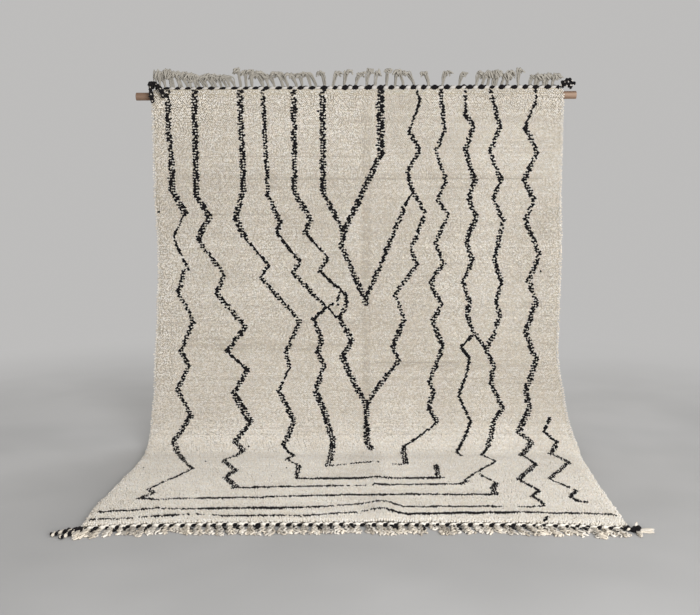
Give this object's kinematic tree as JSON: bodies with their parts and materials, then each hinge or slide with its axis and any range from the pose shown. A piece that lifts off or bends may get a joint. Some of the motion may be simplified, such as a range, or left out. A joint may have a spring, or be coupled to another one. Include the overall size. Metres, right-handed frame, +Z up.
{
  "type": "beni ourain rug hung on a wooden pole",
  "caption": "Cream hand-knotted pile rug with dark zigzag lines, fringed ends and corner tassels, hung from a round wooden pole and lying out on the floor.",
  "frame": {"origin": "on the floor, under the middle of the whole part's bounding box", "axes": "+X along the pole to the viewer's right, -Y the way the pile faces and the rug runs out on the floor, +Z up"},
  "size_m": [2.165, 1.6226, 1.7997],
  "materials": {
    "pile": "soft cut wool pile, cream with dark lines",
    "top_cord": "twined wool cord with grey-cream fringe",
    "front_cord": "twined wool cord with cream fringe",
    "tassels": "twisted dark and cream wool",
    "pole": "bare planed wood"
  },
  "bodies": {
    "root": {"rug": "pile", "end_cord_top": "top_cord", "end_cord_front": "front_cord", "tassel_front_left": "tassels", "tassel_front_right": "tassels", "tassel_top_left": "tassels", "tassel_top_right": "tassels", "pole": "pole"}
  },
  "joints": []
}
